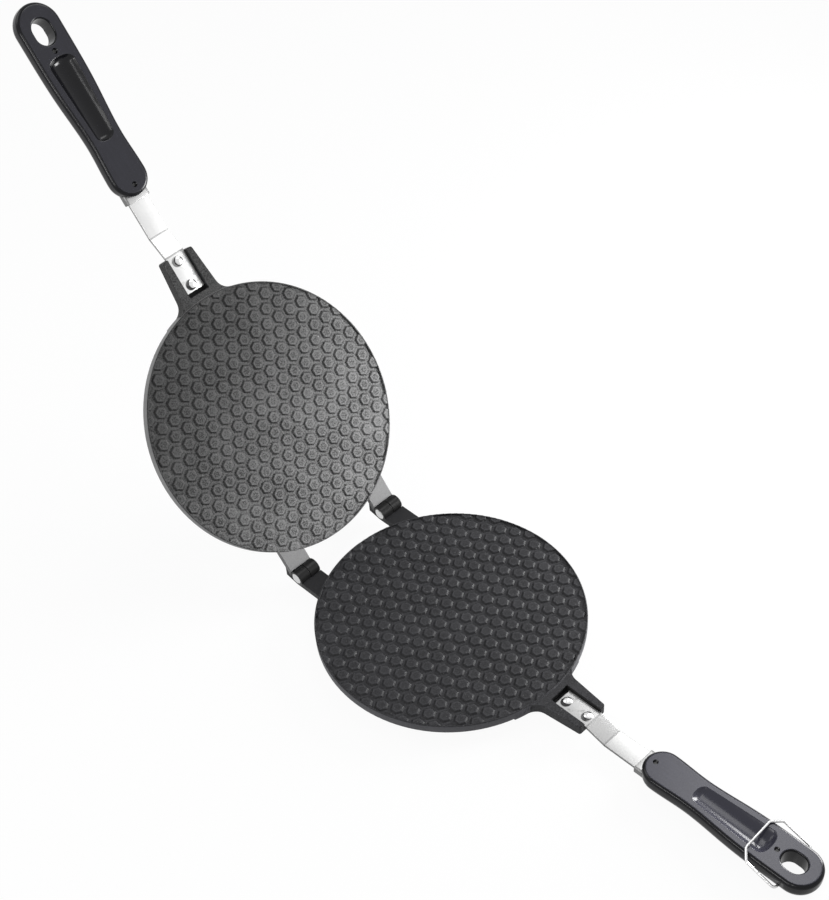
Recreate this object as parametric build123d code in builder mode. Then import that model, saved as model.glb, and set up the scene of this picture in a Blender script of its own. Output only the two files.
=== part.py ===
from build123d import *
import math
import os

os.makedirs("parts", exist_ok=True)

# Each half is drawn in a frame of its own: the closing plane is height 0, the cooking
# face looks up, the handle points along -Y and the hinge lies at +Y. Depths run down
# from the closing plane. Both halves hold the same casting, one turned over on the other.

# Round plates
plate_radius = 85
plate_wall_depth = 6.5
plate_web_depth = 7.4
plate_base_depth = 14.8
foot_ring_radius = 77
foot_ring_width = 4.5
rim_width = 0.9
rim_gap = 1.1
plate_edge_round = 0.6

# Honeycomb of the cooking faces
cell_pitch = 9.7
groove_floor_width = 1.9
groove_wall_width = 0.95
groove_depth = 1.0
island_gap = 1.5

# Fork cast on each plate, which holds the strap
fork_length = 30.5
fork_root_width = 31
fork_tip_width = 22.5
fork_root_fillet = 9
fork_tip_round = 1.5
fork_face_depth = 1.0
fork_floor = 2.2
pocket_setback = 4.0

# Steel strap from the fork into the handle
strap_width = 14
strap_thickness = 2.0
strap_face_depth = 3.6
strap_side_gap = 0.3
strap_end_gap = 2.6
strap_corner_round = 0.6
strap_fold_clearance = 0.9
strap_step = 4.4
strap_ramp_length = 14.2
strap_bend_radius = 3.5
tang_end_inset = 26

# Rivets through strap and fork floor
rivet_radius = 1.6
rivet_hole_gap = 0.08
rivet_head_radius = 3.1
rivet_head_height = 1.1
rivet_tail_radius = 2.8
rivet_tail_height = 0.9
rivet_spacing = 16
rivet_end_distance = 4.1

# Moulded handles
handle_front_distance = 71.5
handle_length = 122
handle_front_radius = 12.3
handle_waist_width = 22.6
handle_waist_distance = 35
handle_middle_width = 26.2
handle_middle_distance = 64
handle_rear_radius = 14
handle_face_depth = 1.1
handle_thickness = 13.2
handle_face_round = 2.5
handle_back_round = 7.2

# Scoop in the inner face of each handle
scoop_front_distance = 35
scoop_length = 54
scoop_front_width = 12
scoop_rear_width = 18
scoop_rear_depth = 4.2
scoop_end_round = 5
scoop_rim_round = 0.8

# Hanging hole at the rear of each handle
hang_hole_width = 12.3
hang_hole_length = 15.6
hang_hole_end_wall = 9.7
hang_hole_round = 1.2

# Pins that hold the strap in the handle, at the bottom of round dimples
dimple_radius = 1.7
dimple_depth = 1.4
handle_pin_radius = 1.25
handle_pin_gap = 0.05
handle_pin_end_wall = 2.2
front_pin_distance = 6.5
rear_pin_behind_scoop = 3.6
tang_gap = 0.1

# Steel collar where the strap enters the handle
collar_width = 17
collar_height = 5.2
collar_proud = 2.6
collar_sunk = 5.2
collar_corner_round = 1.2
collar_gap = 0.1

# Two hinges
hinge_reach = 92.4
hinge_spacing = 74
lug_width = 16
lug_root = 60
knuckle_radius = 5
knuckle_gap = 0.3
knuckle_relief_gap = 0.4
hinge_pin_radius = 2.4
hinge_pin_gap = 0.06
pin_head_radius = 3.6
pin_head_height = 1.1
pin_peen_radius = 3.2
pin_peen_height = 0.8
pin_end_play = 0.1

# Heels behind the knuckles, which stop the open lid
opening_angle = 128
heel_length = 8.5
heel_drop = 3.0
heel_gap = 0.3

# Wire latch on the lower handle
latch_wire_radius = 0.8
latch_bar_width = 22
latch_arm_spacing = 35
latch_bevel_drop = 5.6
latch_bar_to_pivot = 25.2
latch_elbow_radius = 2.4
latch_bar_gap = 0.3
latch_pivot_gap = 0.08
latch_pivot_wall = 3.0
latch_pivot_end_gap = 0.3

# Places that follow from the sizes above
rim_depth = rim_gap / 2
island_depth = island_gap / 2
groove_floor_depth = island_depth + groove_depth
rim_inner_radius = plate_radius - rim_width
foot_inner_radius = foot_ring_radius - foot_ring_width
fork_tip_y = -(plate_radius + fork_length)
pocket_end_y = -(plate_radius + pocket_setback)
pocket_width = strap_width + 2 * strap_side_gap
pocket_floor_depth = strap_face_depth + strap_thickness
fork_bottom_depth = pocket_floor_depth + fork_floor
strap_end_y = pocket_end_y - strap_end_gap
first_rivet_y = strap_end_y - rivet_end_distance
rivet_ys = [first_rivet_y, first_rivet_y - rivet_spacing]
strap_fold_y = fork_tip_y - strap_fold_clearance
tang_face_depth = strap_face_depth + strap_step
tang_middle_depth = tang_face_depth + strap_thickness / 2
handle_front_y = -(plate_radius + handle_front_distance)
handle_rear_y = handle_front_y - handle_length
handle_back_depth = handle_face_depth + handle_thickness
tang_end_y = handle_rear_y + tang_end_inset
hang_hole_y = handle_rear_y + hang_hole_end_wall + hang_hole_length / 2
scoop_front_y = handle_front_y - scoop_front_distance
scoop_rear_y = scoop_front_y - scoop_length
pin_ys = [handle_front_y - front_pin_distance, scoop_rear_y - rear_pin_behind_scoop]
collar_front_y = handle_front_y + collar_proud
collar_rear_y = handle_front_y - collar_sunk
lug_middles = [-hinge_spacing / 2, hinge_spacing / 2]
lug_bottom_depth = knuckle_radius
latch_pivot_y = hang_hole_y
latch_pivot_depth = handle_face_depth + handle_thickness / 2
latch_pivot_end = hang_hole_width / 2 + latch_pivot_wall + latch_pivot_end_gap


# Plate: round disc with rim, side wall, foot ring and recessed back
with BuildPart() as disc:
    with BuildSketch(Plane.XZ) as disc_profile:
        with BuildLine():
            Polyline(
                (0, -island_depth),
                (rim_inner_radius, -island_depth),
                (rim_inner_radius, -rim_depth),
                (plate_radius, -rim_depth),
                (plate_radius, -plate_wall_depth),
                (foot_ring_radius, -plate_base_depth),
                (foot_inner_radius, -plate_base_depth),
                (foot_inner_radius, -plate_web_depth),
                (0, -plate_web_depth),
                close=True,
            )
        make_face()
        fillet(disc_profile.vertices().group_by(Axis.X)[-1], plate_edge_round)
    revolve(axis=Axis.Z)

# Plate: the network of grooves, a shallow disc less a sloping island at each cell
row_pitch = cell_pitch * math.sqrt(3) / 2
island_foot_half_width = (cell_pitch - groove_floor_width) / 2
island_top_half_width = island_foot_half_width - groove_wall_width
island_slope = math.degrees(math.atan(groove_wall_width / groove_depth))
rows = math.ceil(rim_inner_radius / row_pitch)
columns = math.ceil(rim_inner_radius / cell_pitch) + 1
cells = [
    ((column + row % 2 / 2) * cell_pitch, row * row_pitch)
    for row in range(-rows, rows + 1)
    for column in range(-columns, columns + 1)
]
cells = [(x, y) for x, y in cells if math.hypot(x, y) < rim_inner_radius + island_top_half_width / 2]
with BuildPart() as island:
    with BuildSketch(Plane.XY.offset(-groove_floor_depth)):
        RegularPolygon(island_foot_half_width, 6, major_radius=False, rotation=30)
    extrude(amount=groove_depth, taper=island_slope)
with BuildPart() as grooves:
    with BuildSketch(Plane.XY.offset(-groove_floor_depth)):
        Circle(rim_inner_radius)
    extrude(amount=groove_depth)
    with Locations(*cells):
        add(island.part, mode=Mode.SUBTRACT)

# Plate: fork with the strap's pocket
with BuildPart() as fork:
    with BuildSketch(Plane.XY.offset(-fork_face_depth)) as fork_outline:
        with BuildLine():
            Polyline(
                (-fork_root_width / 2, -rim_inner_radius + fork_root_fillet),
                (-fork_tip_width / 2, fork_tip_y),
                (fork_tip_width / 2, fork_tip_y),
                (fork_root_width / 2, -rim_inner_radius + fork_root_fillet),
                close=True,
            )
        make_face()
        Circle(plate_radius)
        fillet(fork_outline.vertices().group_by(Axis.Y)[0], fork_tip_round)
        fillet(fork_outline.vertices().group_by(Axis.Y)[-1], fork_root_fillet)
        Circle(rim_inner_radius, mode=Mode.SUBTRACT)
        with Locations((0, -plate_radius)):
            Rectangle(fork_root_width + 3 * fork_root_fillet, 3 * fork_length, mode=Mode.INTERSECT)
    extrude(amount=fork_face_depth - fork_bottom_depth)
    with BuildSketch(Plane.XY.offset(-pocket_floor_depth)):
        with Locations((0, pocket_end_y)):
            Rectangle(pocket_width, 2 * fork_length, align=(Align.CENTER, Align.MAX))
    extrude(amount=pocket_floor_depth, mode=Mode.SUBTRACT)
    with Locations(*[(0, y, -pocket_floor_depth) for y in rivet_ys]):
        Hole(rivet_radius + rivet_hole_gap)

# Plate: one hinge lug about x = 0, with its knuckle on the -X side and the stop heel
along_lid = Vector(0, -math.cos(math.radians(opening_angle)), math.sin(math.radians(opening_angle)))
off_lid = Vector(0, math.sin(math.radians(opening_angle)), math.cos(math.radians(opening_angle)))
axis_point = Vector(0, hinge_reach, 0)
heel_corners = [
    axis_point + along_lid * distance + off_lid * (lug_bottom_depth + heel_gap)
    for distance in (0, heel_length)
]
knuckle_length = (lug_width - knuckle_gap) / 2
knuckle_plane = Plane.YZ.offset(-lug_width / 2)
with BuildPart() as lug:
    with BuildSketch(Plane.XY.offset(-fork_face_depth)):
        with Locations((0, lug_root)):
            Rectangle(lug_width, hinge_reach - lug_root, align=(Align.CENTER, Align.MIN))
    extrude(amount=fork_face_depth - lug_bottom_depth)
    with BuildSketch(knuckle_plane):
        with Locations((hinge_reach, 0)):
            Circle(knuckle_radius + knuckle_relief_gap)
    extrude(amount=lug_width, mode=Mode.SUBTRACT)
    with BuildSketch(knuckle_plane):
        with BuildLine():
            Polyline(
                (hinge_reach - knuckle_radius - 2 * knuckle_relief_gap, -fork_face_depth),
                (hinge_reach, -fork_face_depth),
                (heel_corners[0].Y, heel_corners[0].Z),
                (heel_corners[1].Y, heel_corners[1].Z),
                (heel_corners[1].Y, -heel_drop),
                (hinge_reach, -lug_bottom_depth),
                (hinge_reach - knuckle_radius - 2 * knuckle_relief_gap, -lug_bottom_depth),
                close=True,
            )
        make_face()
        with Locations((hinge_reach, 0)):
            Circle(knuckle_radius)
    extrude(amount=knuckle_length)
    with BuildSketch(knuckle_plane):
        with Locations((hinge_reach, 0)):
            Circle(hinge_pin_radius + hinge_pin_gap)
    extrude(amount=lug_width, mode=Mode.SUBTRACT)

with BuildPart() as plate:
    add(disc.part)
    add(fork.part)
    for middle in lug_middles:
        with BuildSketch(Plane.XY):
            Circle(rim_inner_radius)
        keep_clear = extrude(amount=-plate_wall_depth, mode=Mode.PRIVATE)
        add((lug.part - keep_clear.moved(Location((-middle, 0, 0)))).moved(Location((middle, 0, 0))))
    add(grooves.part, mode=Mode.SUBTRACT, clean=False)

# Strap: fork end, ramp and tang, bent from one flat strip
with BuildPart() as strap:
    with BuildSketch(Plane.YZ) as strap_profile:
        with BuildLine():
            FilletPolyline(
                (strap_end_y, -strap_face_depth - strap_thickness / 2),
                (strap_fold_y, -strap_face_depth - strap_thickness / 2),
                (strap_fold_y - strap_ramp_length, -tang_middle_depth),
                (tang_end_y, -tang_middle_depth),
                radius=strap_bend_radius,
            )
        trace(line_width=strap_thickness)
    extrude(amount=strap_width / 2, both=True)
    ends = strap.edges().filter_by(Axis.Z)
    fillet(ends.group_by(Axis.Y)[0] + ends.group_by(Axis.Y)[-1], strap_corner_round)
    with Locations(*[(0, y, 0) for y in rivet_ys]):
        Hole(rivet_radius + rivet_hole_gap)
    with Locations(*[(0, y, 0) for y in pin_ys]):
        Hole(handle_pin_radius + handle_pin_gap)


def make_rivet(y):
    with BuildPart() as rivet:
        with BuildSketch(Plane.XZ.offset(-y)):
            with BuildLine():
                head_edge = (rivet_head_radius, -strap_face_depth)
                head_top = (0, -strap_face_depth + rivet_head_height)
                RadiusArc(head_top, head_edge, dome_radius(rivet_head_radius, rivet_head_height))
                Polyline(
                    head_edge,
                    (rivet_radius, -strap_face_depth),
                    (rivet_radius, -fork_bottom_depth),
                    (rivet_tail_radius, -fork_bottom_depth),
                    (rivet_tail_radius, -fork_bottom_depth - rivet_tail_height),
                    (0, -fork_bottom_depth - rivet_tail_height),
                    head_top,
                )
            make_face()
        revolve(axis=Axis((0, y, 0), (0, 0, 1)))
    return rivet.part


def dome_radius(half_width, height):
    return (half_width**2 + height**2) / (2 * height)


def make_handle_pin(y):
    top = handle_face_depth + dimple_depth
    bottom = handle_back_depth - handle_pin_end_wall
    with BuildPart() as pin:
        with BuildSketch(Plane.XY.offset(-bottom)):
            with Locations((0, y)):
                Circle(handle_pin_radius)
        extrude(amount=bottom - top)
        chamfer(pin.edges(), handle_pin_radius / 5)
    return pin.part


# Collar: a rectangular sleeve on the strap, sunk in the handle's front
with BuildPart() as collar:
    with BuildSketch(Plane.XZ.offset(-collar_front_y)):
        with Locations((0, -tang_middle_depth)):
            RectangleRounded(collar_width, collar_height, collar_corner_round)
            Rectangle(strap_width + 2 * tang_gap, strap_thickness + 2 * tang_gap, mode=Mode.SUBTRACT)
    extrude(amount=collar_front_y - collar_rear_y)


# Handle: moulded grip with scoop, hanging hole, dimples and the strap's slot
def make_handle(holds_latch):
    rear_middle_y = handle_rear_y + handle_rear_radius
    front_middle_y = handle_front_y - handle_front_radius
    waist_y = handle_front_y - handle_waist_distance
    middle_y = handle_front_y - handle_middle_distance
    scoop_half = scoop_rear_width / 2
    scoop_axis_height = (scoop_half**2 - scoop_rear_depth**2) / (2 * scoop_rear_depth)
    scoop_axis_z = scoop_axis_height - handle_face_depth
    rear_reach = math.hypot(scoop_axis_height, scoop_half)
    front_reach = math.hypot(scoop_axis_height, scoop_front_width / 2)
    with BuildPart() as handle:
        with BuildSketch(Plane.XY.offset(-handle_face_depth)):
            with BuildLine():
                right_side = Spline(
                    (handle_front_radius, front_middle_y),
                    (handle_waist_width / 2, waist_y),
                    (handle_middle_width / 2, middle_y),
                    (handle_rear_radius, rear_middle_y),
                    tangents=[(0, -1), (0, -1)],
                )
                mirror(right_side, about=Plane.YZ)
                ThreePointArc(
                    (-handle_front_radius, front_middle_y),
                    (0, handle_front_y),
                    (handle_front_radius, front_middle_y),
                )
                ThreePointArc(
                    (-handle_rear_radius, rear_middle_y),
                    (0, handle_rear_y),
                    (handle_rear_radius, rear_middle_y),
                )
            make_face()
        extrude(amount=-handle_thickness)
        fillet(handle.faces().sort_by(Axis.Z)[-1].edges(), handle_face_round)
        fillet(handle.faces().sort_by(Axis.Z)[0].edges(), handle_back_round)
        with BuildSketch(Plane.XY) as hole_outline:
            with Locations((0, hang_hole_y)):
                SlotOverall(hang_hole_length, hang_hole_width, rotation=90)
        extrude(amount=-handle_back_depth, mode=Mode.SUBTRACT)
        hole_rims = handle.edges().filter_by(lambda e: is_hole_rim(e))
        fillet(hole_rims, hang_hole_round)
        with BuildSketch(Plane.YZ) as scoop_profile:
            with BuildLine():
                Polyline(
                    (scoop_front_y, scoop_axis_z),
                    (scoop_front_y, scoop_axis_z - front_reach),
                    (scoop_rear_y, scoop_axis_z - rear_reach),
                    (scoop_rear_y, scoop_axis_z),
                    close=True,
                )
            make_face()
            corners = scoop_profile.vertices().sort_by(Axis.Y)[:2]
            fillet(corners, scoop_end_round)
        revolve(axis=Axis((0, 0, scoop_axis_z), (0, 1, 0)), mode=Mode.SUBTRACT)
        fillet(handle.edges(Select.LAST).filter_by(lambda e: is_on_face(e)), scoop_rim_round)
        for y in pin_ys:
            with Locations((0, y, -handle_face_depth)):
                Hole(dimple_radius, depth=dimple_depth)
                Hole(handle_pin_radius + handle_pin_gap, depth=handle_thickness - handle_pin_end_wall)
        with BuildSketch(Plane.XZ.offset(-collar_front_y)):
            with Locations((0, -tang_middle_depth)):
                Rectangle(strap_width + 2 * tang_gap, strap_thickness + 2 * tang_gap)
        extrude(amount=collar_front_y - tang_end_y + tang_gap, mode=Mode.SUBTRACT)
        with BuildSketch(Plane.XZ.offset(-collar_front_y)):
            with Locations((0, -tang_middle_depth)):
                RectangleRounded(
                    collar_width + 2 * collar_gap,
                    collar_height + 2 * collar_gap,
                    collar_corner_round + collar_gap,
                )
        extrude(amount=collar_front_y - collar_rear_y + collar_gap, mode=Mode.SUBTRACT)
        if holds_latch:
            for side in (-1, 1):
                pivot_start = side * (hang_hole_width / 2 + latch_pivot_wall)
                with BuildSketch(Plane.YZ.offset(pivot_start)):
                    with Locations((latch_pivot_y, -latch_pivot_depth)):
                        Circle(latch_wire_radius + latch_pivot_gap)
                extrude(amount=side * latch_arm_spacing, mode=Mode.SUBTRACT)
    return handle.part


def is_hole_rim(edge):
    middle = edge.center()
    near = abs(middle.Y - hang_hole_y) < hang_hole_length * 0.55 and abs(middle.X) < hang_hole_width * 0.55
    return near and (is_on_face(edge) or is_on_back(edge))


def is_on_face(edge):
    return abs(edge.center().Z + handle_face_depth) < 0.01


def is_on_back(edge):
    return abs(edge.center().Z + handle_back_depth) < 0.01


# Latch: a wire bail that lies on the lower handle's inner face
bar_depth = handle_face_depth - latch_bar_gap - latch_wire_radius
bar_rise = latch_pivot_depth - bar_depth
latch_length = math.hypot(latch_bar_to_pivot, bar_rise)
latch_plane = Plane(
    origin=(0, latch_pivot_y, -latch_pivot_depth),
    x_dir=(1, 0, 0),
    z_dir=(0, -bar_rise, latch_bar_to_pivot),
)
arm_x = latch_arm_spacing / 2
with BuildPart() as latch:
    with BuildLine(latch_plane) as wire_line:
        FilletPolyline(
            (-latch_pivot_end, 0),
            (-arm_x, 0),
            (-arm_x, latch_length - latch_bevel_drop),
            (-latch_bar_width / 2, latch_length),
            (latch_bar_width / 2, latch_length),
            (arm_x, latch_length - latch_bevel_drop),
            (arm_x, 0),
            (latch_pivot_end, 0),
            radius=latch_elbow_radius,
        )
    with BuildSketch(Plane(origin=wire_line.line @ 0, z_dir=wire_line.line % 0)):
        Circle(latch_wire_radius)
    sweep()


def make_hinge_pin(middle):
    left = middle - lug_width / 2
    right = middle + lug_width / 2 + pin_end_play
    with BuildPart() as pin:
        with BuildSketch(Plane.XY):
            with BuildLine():
                crown = (left - pin_head_height, hinge_reach)
                rim = (left, hinge_reach + pin_head_radius)
                RadiusArc(crown, rim, dome_radius(pin_head_radius, pin_head_height))
                Polyline(
                    rim,
                    (left, hinge_reach + hinge_pin_radius),
                    (right, hinge_reach + hinge_pin_radius),
                    (right, hinge_reach + pin_peen_radius),
                    (right + pin_peen_height, hinge_reach + hinge_pin_radius),
                    (right + pin_peen_height, hinge_reach),
                    crown,
                )
            make_face()
        revolve(axis=Axis((0, hinge_reach, 0), (1, 0, 0)))
    return pin.part


# Both halves are placed: the lower on its foot ring, the upper turned over and opened
lower_plane = Plane.XY.offset(plate_base_depth)
shut_plane = Plane(origin=lower_plane.origin, x_dir=(-1, 0, 0), z_dir=(0, 0, -1))
hinge_axis = Axis((0, hinge_reach, plate_base_depth), (1, 0, 0))


def put_lower(piece):
    return piece.moved(lower_plane.location)


def put_upper(piece):
    return piece.moved(shut_plane.location).rotate(hinge_axis, -opening_angle)


def write(piece, name):
    piece.label = name
    export_step(piece, f"parts/{name}.step")


for half, put in (("lower", put_lower), ("upper", put_upper)):
    write(put(plate.part), f"{half}_plate")
    write(put(strap.part), f"{half}_strap")
    write(put(collar.part), f"{half}_collar")
    write(put(make_handle(holds_latch=half == "lower")), f"{half}_handle")
    for place, y in zip(("inner", "outer"), rivet_ys):
        write(put(make_rivet(y)), f"{half}_rivet_{place}")
    for place, y in zip(("front", "rear"), pin_ys):
        write(put(make_handle_pin(y)), f"{half}_handle_pin_{place}")

for side, middle in zip(("left", "right"), lug_middles):
    write(put_lower(make_hinge_pin(middle)), f"hinge_pin_{side}")
write(put_lower(latch.part), "latch_bail")
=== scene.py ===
import math

import bmesh
import bpy
import numpy as np
from mathutils import Matrix, Vector


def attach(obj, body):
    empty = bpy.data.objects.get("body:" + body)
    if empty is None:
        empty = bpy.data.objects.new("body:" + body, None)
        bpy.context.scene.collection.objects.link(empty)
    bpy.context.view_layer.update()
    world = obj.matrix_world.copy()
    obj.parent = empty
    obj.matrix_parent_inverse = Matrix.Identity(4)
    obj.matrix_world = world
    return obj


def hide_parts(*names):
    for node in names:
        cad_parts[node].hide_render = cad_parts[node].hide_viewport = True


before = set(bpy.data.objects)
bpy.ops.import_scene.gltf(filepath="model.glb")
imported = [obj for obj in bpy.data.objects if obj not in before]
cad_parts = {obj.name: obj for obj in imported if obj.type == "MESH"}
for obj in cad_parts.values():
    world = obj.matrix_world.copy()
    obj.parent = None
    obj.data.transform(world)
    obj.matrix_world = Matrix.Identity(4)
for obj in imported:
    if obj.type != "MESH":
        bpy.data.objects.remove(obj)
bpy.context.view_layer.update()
mm = 0.001
smoothBelow = math.radians(30)
mergeBelow = 0.002 * mm

# Where the two halves stand. Each is drawn in a frame of its own: closing plane at
# height 0, cooking face up, handle along -Y, hinge at +Y.
halves = {
    "baseDepth": 14.8 * mm,
    "hingeReach": 92.4 * mm,
    "openAngle": math.radians(128),
    "bodies": {"lower": "lower", "upper": "lid"},
}


def hingeTurn(points, angle):
    # points turned about the hinge line, which runs along X
    y = points[:, 1] - halves["hingeReach"]
    z = points[:, 2] - halves["baseDepth"]
    c, s = math.cos(angle), math.sin(angle)
    turned = np.stack([points[:, 0], y * c - z * s, y * s + z * c], 1)
    return turned + [0, halves["hingeReach"], halves["baseDepth"]]


def toRow(points, half):
    # from a half's own frame to the row frame
    if half == "lower":
        return points + [0, 0, halves["baseDepth"]]
    shut = points * [-1, 1, -1] + [0, 0, halves["baseDepth"]]
    return hingeTurn(shut, -halves["openAngle"])


def toHalf(points, half):
    # from the row frame back to a half's own frame
    if half == "lower":
        return points - [0, 0, halves["baseDepth"]]
    shut = hingeTurn(points, halves["openAngle"])
    return (shut - [0, 0, halves["baseDepth"]]) * [-1, 1, -1]


def keepHalfPlace(mesh, places):
    # each point's place in its half's frame, for the finishes to read
    attribute = mesh.attributes.new("halfPlace", "FLOAT_VECTOR", "POINT")
    attribute.data.foreach_set("vector", np.asarray(places, np.float32).ravel())


def read(items, key, width=1, kind=np.float32):
    # one property of all items as an array, with a row for each item if it has several numbers
    values = np.empty(len(items) * width, kind)
    items.foreach_get(key, values)
    return values.reshape(-1, width) if width > 1 else values


def halfPlaces(mesh):
    return read(mesh.attributes["halfPlace"].data, "vector", 3)


def addPiece(name, mesh, body, nodes, finish):
    piece = bpy.data.objects.new(name, mesh)
    bpy.context.scene.collection.objects.link(piece)
    mesh.materials.append(finish)
    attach(piece, body)
    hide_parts(*nodes)
    return piece


def gridMesh(name, rows, half, endless=False):
    # quads between neighbouring rows of points given in the half's frame; rows close on
    # themselves, open ends close by a fan round their middle, endless ones join up; the sign of
    # the volume tells whether the faces point outwards
    count, around = rows.shape[:2]
    index = np.arange(count * around).reshape(count, around)
    first, second = (index, np.roll(index, -1, 0)) if endless else (index[:-1], index[1:])
    quads = [first, np.roll(first, -1, 1), np.roll(second, -1, 1), second]
    quads = np.stack(quads, -1).reshape(-1, 4)
    points = rows.reshape(-1, 3)
    fans = np.empty((0, 3), int)
    if not endless:
        start = np.stack([np.roll(index[0], -1), index[0], np.full(around, len(points))], 1)
        end = np.stack([index[-1], np.roll(index[-1], -1), np.full(around, len(points) + 1)], 1)
        points = np.concatenate([points, [rows[0].mean(0), rows[-1].mean(0)]])
        fans = np.concatenate([start, end])
    corners = points[np.concatenate([quads[:, :3], quads[:, [0, 2, 3]], fans])]
    volume = np.einsum("ij,ij->i", corners[:, 0], np.cross(corners[:, 1], corners[:, 2])).sum()
    if volume < 0:
        quads, fans = quads[:, ::-1], fans[:, ::-1]
    mesh = bpy.data.meshes.new(name)
    mesh.from_pydata(toRow(points, half).tolist(), [], quads.tolist() + fans.tolist())
    keepHalfPlace(mesh, points)
    mesh.shade_smooth()
    mesh.set_sharp_from_angle(angle=smoothBelow)
    return mesh


def lathe(profile, centre, axis, around):
    # rows of a turned piece: each (radius, height) of the profile goes round the axis
    turn = np.linspace(0, 2 * math.pi, around, endpoint=False)
    radius, height = np.array(profile).T
    across = [np.outer(radius, np.cos(turn)), np.outer(radius, np.sin(turn))]
    along = np.repeat(height[:, None], around, 1)
    order = [along, *across] if axis == "x" else [*across, along]
    return np.stack(order, -1) + centre


def arc(middle, radius, start, end, steps):
    # points on a circle from one angle in degrees to another
    turn = np.radians(np.linspace(start, end, steps))
    return np.stack([middle[0] + radius * np.cos(turn), middle[1] + radius * np.sin(turn)], 1)


def dome(radius, height, crown, steps):
    # (radius, height) of a round head, a cap of a ball, from near its crown out to its rim
    ball = (radius**2 + height**2) / (2 * height)
    reach = radius * np.linspace(crown, 1, steps)
    return np.stack([reach, np.sqrt(ball**2 - reach**2) - ball + height], 1)


def roundedPath(corners, radius, steps):
    # a line through the corners with each bend replaced by an arc of the radius
    corners = np.array(corners, float)
    path = [corners[:1]]
    for before, corner, after in zip(corners, corners[1:], corners[2:]):
        a = (before - corner) / np.linalg.norm(before - corner)
        b = (after - corner) / np.linalg.norm(after - corner)
        half = math.acos(np.clip(a @ b, -1, 1)) / 2
        middle = corner + (a + b) / np.linalg.norm(a + b) * radius / math.sin(half)
        spread = math.pi / 2 - half
        bisector = (corner - middle) / np.linalg.norm(corner - middle)
        side = np.array([-bisector[1], bisector[0]])
        side = side if side @ a > 0 else -side
        turn = np.linspace(spread, -spread, steps)
        path.append(middle + radius * (np.outer(np.cos(turn), bisector) + np.outer(np.sin(turn), side)))
    return np.concatenate([*path, corners[-1:]])


def roundedRectangle(halfWidth, halfHeight, radius, steps):
    # points corner by corner round a rectangle, with a quarter circle at each corner
    quarters = []
    for start, signX, signY in ((0, 1, 1), (90, -1, 1), (180, -1, -1), (270, 1, -1)):
        middle = (signX * (halfWidth - radius), signY * (halfHeight - radius))
        quarters.append(arc(middle, radius, start, start + 90, steps))
    return np.concatenate(quarters)


# Finishes

class Value:
    # a socket of a finish that can be used in sums
    def __init__(self, finish, socket):
        self.finish = finish
        self.socket = socket

    def __add__(self, other):
        return self.finish.maths("ADD", self, other)

    def __mul__(self, other):
        return self.finish.maths("MULTIPLY", self, other)

    def __sub__(self, other):
        return self.finish.maths("SUBTRACT", self, other)

    def __rsub__(self, other):
        return self.finish.maths("SUBTRACT", other, self)

    __radd__ = __add__
    __rmul__ = __mul__


class Finish:
    # the nodes of a material or of the world, made one by one
    def __init__(self, owner):
        owner.use_nodes = True
        self.owner = owner
        self.tree = owner.node_tree
        self.tree.nodes.clear()

    def node(self, kind, settings=None, sockets=None, out=0):
        made = self.tree.nodes.new("ShaderNode" + kind)
        for key, value in (settings or {}).items():
            setattr(made, key, value)
        for key, value in (sockets or {}).items():
            if isinstance(value, Value):
                self.tree.links.new(value.socket, made.inputs[key])
            else:
                made.inputs[key].default_value = value
        return Value(self, made.outputs[out]) if made.outputs else None

    def maths(self, operation, a, b=0.0):
        return self.node("Math", {"operation": operation}, {0: a, 1: b})

    def band(self, value, low, high, soft):
        # 1 between low and high, falling to 0 over soft on both sides
        rise = self.ramp(value, low - soft, low)
        fall = self.ramp(value, high, high + soft)
        return rise * (1 - fall)

    def ramp(self, value, start, end, low=0.0, high=1.0):
        settings = {"interpolation_type": "SMOOTHSTEP"}
        return self.node("MapRange", settings, {0: value, 1: start, 2: end, 3: low, 4: high})

    def mix(self, factor, a, b):
        return self.node("Mix", {"data_type": "RGBA"}, {0: factor, 6: a, 7: b}, 2)

    def noise(self, place, scale, detail=2.0, stretch=(1, 1, 1)):
        if stretch != (1, 1, 1):
            place = self.node("Mapping", {"vector_type": "POINT"}, {0: place, 3: stretch})
        return self.node("TexNoise", {}, {"Vector": place, "Scale": scale, "Detail": detail})

    def bump(self, height, depth, strength=1.0, under=None):
        sockets = {"Height": height, "Distance": depth, "Strength": strength}
        if under is not None:
            sockets["Normal"] = under
        return self.node("Bump", {}, sockets)

    def layer(self, mask, amount, under, tone, tint=(1, 1, 1)):
        # a grey laid over the colour under it, as far as the mask and the amount go
        return self.mix(mask * amount, under, grey(tone, tint))

    def axes(self, place, *which):
        return [self.node("SeparateXYZ", {}, {0: place}, out) for out in which]

    def surface(self, sockets):
        shader = self.node("BsdfPrincipled", {}, sockets)
        self.node("OutputMaterial", {}, {"Surface": shader})
        return self.owner

    def halfPlace(self):
        return self.node("Attribute", {"attribute_name": "halfPlace"}, {}, 1)


def grey(level, tint=(1, 1, 1)):
    return (level * tint[0], level * tint[1], level * tint[2], 1)


# In the finishes a noise is (scale, detail, stretch) and a mask is where it starts and where it is
# full, with a third value for how softly both sides of a band fall off.

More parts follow.
